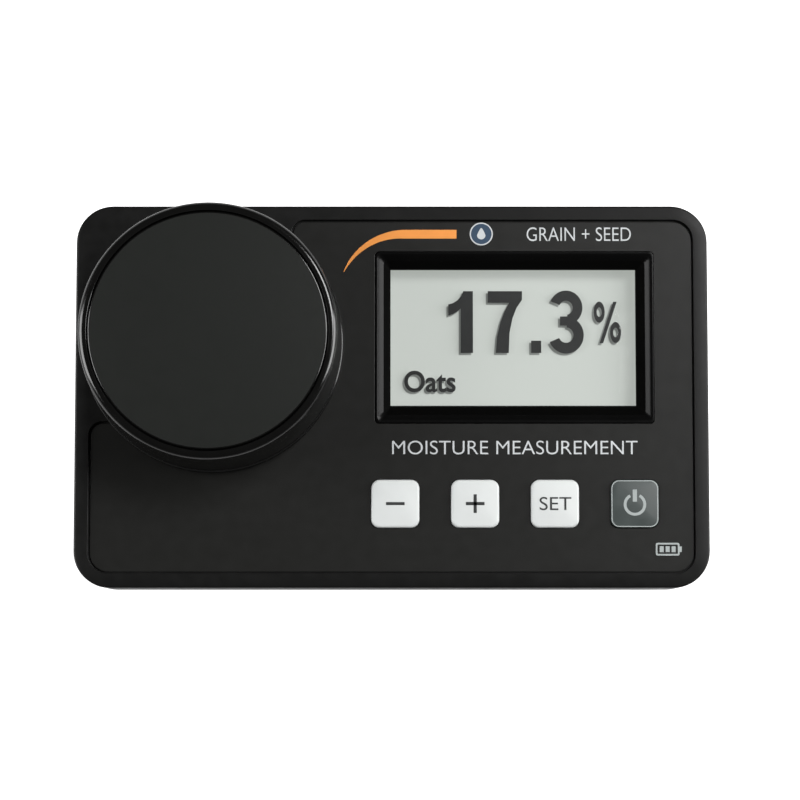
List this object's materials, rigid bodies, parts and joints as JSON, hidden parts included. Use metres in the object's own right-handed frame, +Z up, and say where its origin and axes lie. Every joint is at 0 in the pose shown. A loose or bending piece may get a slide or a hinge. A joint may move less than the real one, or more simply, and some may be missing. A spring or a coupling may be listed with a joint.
{
  "type": "grain moisture meter",
  "caption": "Hand-held grain moisture meter: dark case with a recessed display, push keys and a deep sample chamber under a wide screw cap.",
  "frame": {"origin": "under the middle of the case, on the plane of the feet", "axes": "+X along the case to the user's right, +Y away from the user, +Z up through the panel and the cap"},
  "size_m": [0.15, 0.091, 0.07],
  "materials": {
    "case_plastic": "fine satin texture, near black",
    "overlay_film": "smooth satin film, charcoal",
    "cap_plastic": "polished black",
    "cap_face": "fine matt, charcoal",
    "bezel_gloss": "polished black",
    "window_clear": "clear",
    "lcd_glass": "pale grey-green, satin",
    "diffuser": "milky white",
    "key_white": "silicone rubber, off-white",
    "key_grey": "silicone rubber, slate grey",
    "circuit_board": "green solder mask",
    "dark_moulding": "moulded black",
    "nickel_plate": "bright nickel",
    "screw_steel": "zinc plated",
    "electrode_steel": "turned stainless steel",
    "nut_brass": "machined",
    "rubber": "matt black",
    "chamber_plastic": "smooth, dark grey",
    "cell_jacket": "shrink sleeve, plain blue-grey",
    "lead_insulation": "silicone sleeve, dark red"
  },
  "bodies": {
    "case": {"battery_1": "cell_jacket", "battery_2": "cell_jacket", "battery_3": "cell_jacket", "battery_4": "cell_jacket", "battery_contact_1": "nickel_plate", "battery_contact_2": "nickel_plate", "battery_contact_3": "nickel_plate", "battery_contact_4": "nickel_plate", "battery_contact_5": "nickel_plate", "board_screw_1": "screw_steel", "board_screw_2": "screw_steel", "board_screw_3": "screw_steel", "board_screw_4": "screw_steel", "case_screw_1": "screw_steel", "case_screw_2": "screw_steel", "case_screw_3": "screw_steel", "case_screw_4": "screw_steel", "chamber_cup": "chamber_plastic", "chamber_seal": "rubber", "display_bezel": "bezel_gloss", "display_window": "window_clear", "electrode_nut": "nut_brass", "foot_1": "rubber", "foot_2": "rubber", "foot_3": "rubber", "foot_4": "rubber", "front_overlay": "overlay_film", "front_shell": "case_plastic", "inner_electrode": "electrode_steel", "key_switch_1": "dark_moulding", "key_switch_2": "dark_moulding", "key_switch_3": "dark_moulding", "key_switch_4": "dark_moulding", "lcd_backlight": "diffuser", "lcd_board": "circuit_board", "lcd_frame": "nickel_plate", "lcd_glass": "lcd_glass", "lcd_header": "dark_moulding", "main_board": "circuit_board", "mcu_chip": "dark_moulding", "outer_electrode": "electrode_steel", "rear_shell": "case_plastic", "shell_gasket": "rubber", "signal_lead": "lead_insulation", "temperature_probe": "electrode_steel"},
    "minus_key": {"key_minus": "key_white", "key_plunger_1": "dark_moulding"},
    "plus_key": {"key_plus": "key_white", "key_plunger_2": "dark_moulding"},
    "set_key": {"key_set": "key_white", "key_plunger_3": "dark_moulding"},
    "power_key": {"key_power": "key_grey", "key_plunger_4": "dark_moulding"},
    "press_disc": {"press_disc": "chamber_plastic"},
    "cap": {"cap_body": "cap_plastic", "cap_top_plate": "cap_face", "cap_seal": "rubber", "pivot_screw": "screw_steel"},
    "battery_door": {"battery_door": "case_plastic"}
  },
  "joints": [
    {"name": "minus_key_press", "type": "slide", "parent": "case", "child": "minus_key", "axis": [0, 0, -1], "range_m": [0, 0.0006], "stiffness_N_per_m": 3000, "springref_m": -0.0003},
    {"name": "plus_key_press", "type": "slide", "parent": "case", "child": "plus_key", "axis": [0, 0, -1], "range_m": [0, 0.0006], "stiffness_N_per_m": 3000, "springref_m": -0.0003},
    {"name": "set_key_press", "type": "slide", "parent": "case", "child": "set_key", "axis": [0, 0, -1], "range_m": [0, 0.0006], "stiffness_N_per_m": 3000, "springref_m": -0.0003},
    {"name": "power_key_press", "type": "slide", "parent": "case", "child": "power_key", "axis": [0, 0, -1], "range_m": [0, 0.0006], "stiffness_N_per_m": 3000, "springref_m": -0.0003},
    {"name": "cap_rise", "type": "slide", "parent": "case", "child": "press_disc", "axis": [0, 0, 1], "range_m": [0, 0.032]},
    {"name": "cap_turn", "type": "hinge", "parent": "press_disc", "child": "cap", "pos_m": [-0.0423, 0.0125, 0.06], "axis": [0, 0, 1], "range_deg": [0, 1440]},
    {"name": "battery_door_swing", "type": "hinge", "parent": "case", "child": "battery_door", "pos_m": [0.033, 0.0282, 0.0016], "axis": [1, 0, 0], "range_deg": [0, 75]}
  ],
  "couplings": [
    {"joint": "cap_turn", "follows": "cap_rise", "rad_per_m": 785.39}
  ]
}
